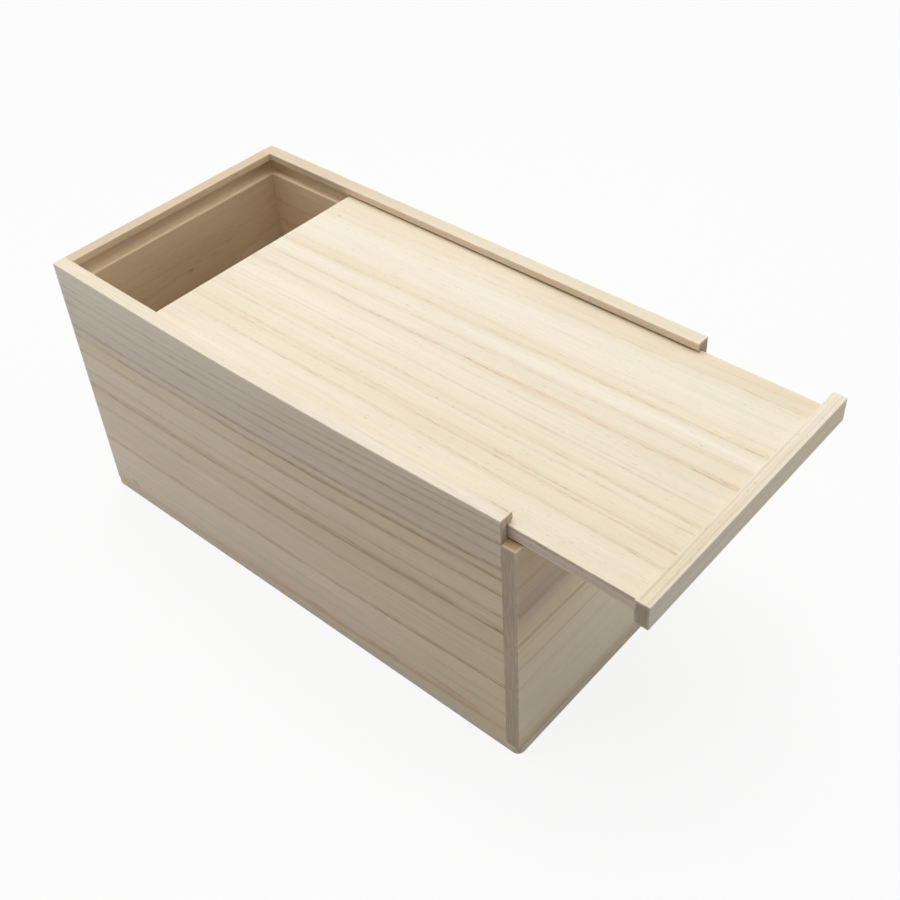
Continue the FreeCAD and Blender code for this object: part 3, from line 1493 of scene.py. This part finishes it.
@dataclass
class Studio:
    """A pale floor, soft light and the camera, in metres and degrees; the lens and the film are in mm."""

    camera_place: Sizes = (-0.33283, -0.36287, 0.50628)
    camera_turn: Sizes = (47.6390, 1.4815, -50.2942)
    camera_lens: float = 49.966
    camera_film: float = 36.0
    camera_shift: Span = (-0.04448, -0.00889)
    camera_reach: Span = (0.01, 50.0)
    floor_half: float = 4.0
    floor_colour: Colour = (0.62, 0.61, 0.59)
    floor_white: Colour = (0.90, 0.90, 0.90)
    floor_show: float = 0.13
    ambient: float = 0.16
    lamps: tuple[SoftLamp, ...] = (
        SoftLamp("softbox_above", (0.10, 0.35, 1.55), (0.0, 0.02, 0.1), (1.9, 1.7), 21.0),
        SoftLamp("softbox_front", (0.10, -0.45, 1.50), (0.0, 0.02, 0.1), (1.4, 0.9), 4.4),
        SoftLamp("fill_right", (1.1, -1.3, 0.7), (0.0, -0.05, 0.05), (1.2, 0.9), 5.4),
        SoftLamp("fill_behind", (-1.3, 1.0, 0.7), (0.0, 0.05, 0.05), (1.0, 0.8), 3.1),
    )

    def build(self) -> None:
        """Set up the floor, the sky, the lamps and the camera."""
        self.make_floor()
        self.make_sky()
        for lamp in self.lamps:
            self.hang(lamp)
        self.make_camera()

    def make_floor(self) -> None:
        """Lay a floor that the eye sees as nearly white and that keeps the box's shadow."""
        bm = bmesh.new()
        bmesh.ops.create_grid(bm, x_segments=1, y_segments=1, size=self.floor_half)
        floor = show_mesh("studio_floor", bm)
        material = bpy.data.materials.new("studio_paper")
        bench = NodeBench.cleared(material)
        paper = bench.value("ShaderNodeBsdfDiffuse", {"Color": (*self.floor_colour, 1.0)})
        white = bench.value("ShaderNodeBsdfDiffuse", {"Color": (*self.floor_white, 1.0)})
        shown = bench.shader_mix(self.floor_show, bench.value("ShaderNodeEmission"), white)
        surface = bench.shader_mix(self.seen_rays(bench), paper, shown)
        bench.add("ShaderNodeOutputMaterial", {"Surface": surface})
        floor.data.materials.append(material)

    def make_sky(self) -> None:
        """Light the scene evenly and faintly, and show white where the floor ends."""
        world = bpy.data.worlds.new("studio_sky")
        bpy.context.scene.world = world
        bench = NodeBench.cleared(world)
        glow = bench.value("ShaderNodeBackground", {"Strength": self.ambient})
        white = bench.value("ShaderNodeBackground", {"Color": (1.0, 1.0, 1.0, 1.0)})
        surface = bench.shader_mix(self.seen_rays(bench), glow, white)
        bench.add("ShaderNodeOutputWorld", {"Surface": surface})

    def seen_rays(self, bench: NodeBench) -> Value:
        """Tell the rays that the eye, a gloss or a glass sends from those that carry light.

        Args:
            bench: works on the floor's or the sky's tree.

        Returns:
            1 for the rays that are seen and 0 for the others.
        """
        rays = bench.add("ShaderNodeLightPath").outputs
        names = ("Is Camera Ray", "Is Glossy Ray", "Is Transmission Ray")
        eye, gloss, glass = (Value(bench, rays[name]) for name in names)
        return bench.maths("MAXIMUM", bench.maths("MAXIMUM", eye, gloss), glass)

    def hang(self, lamp: SoftLamp) -> None:
        """Hang a soft lamp and turn it to its target.

        Args:
            lamp: the lamp.
        """
        light = bpy.data.lights.new(lamp.name, "AREA")
        light.shape = "RECTANGLE"
        light.size, light.size_y = lamp.size
        light.energy = lamp.watts
        holder = show(lamp.name, light)
        holder.location = lamp.place
        aim = Vector(lamp.target) - Vector(lamp.place)
        holder.rotation_euler = aim.to_track_quat("-Z", "Y").to_euler()

    def make_camera(self) -> None:
        """Stand the camera above the near left corner."""
        lens = bpy.data.cameras.new("studio_camera")
        lens.lens, lens.sensor_width = self.camera_lens, self.camera_film
        lens.shift_x, lens.shift_y = self.camera_shift
        lens.clip_start, lens.clip_end = self.camera_reach
        camera = show("studio_camera", lens)
        camera.location = self.camera_place
        camera.rotation_euler = [math.radians(angle) for angle in self.camera_turn]
        bpy.context.scene.camera = camera


def main() -> None:
    """Build the box, the lid and the studio."""
    logging.basicConfig(level=logging.INFO, format="%(name)s: %(message)s")
    wood = KiriWood()
    for part in (BoxCarcass(wood), SlidingLid(wood)):
        part.build()
        for piece in part.pieces:
            LOG.info("%s rides on %s", piece.name, piece["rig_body"])
    Studio().build()
    bpy.context.scene.view_settings.view_transform = "Standard"
    bpy.context.view_layer.update()


if __name__ == "__main__":
    main()
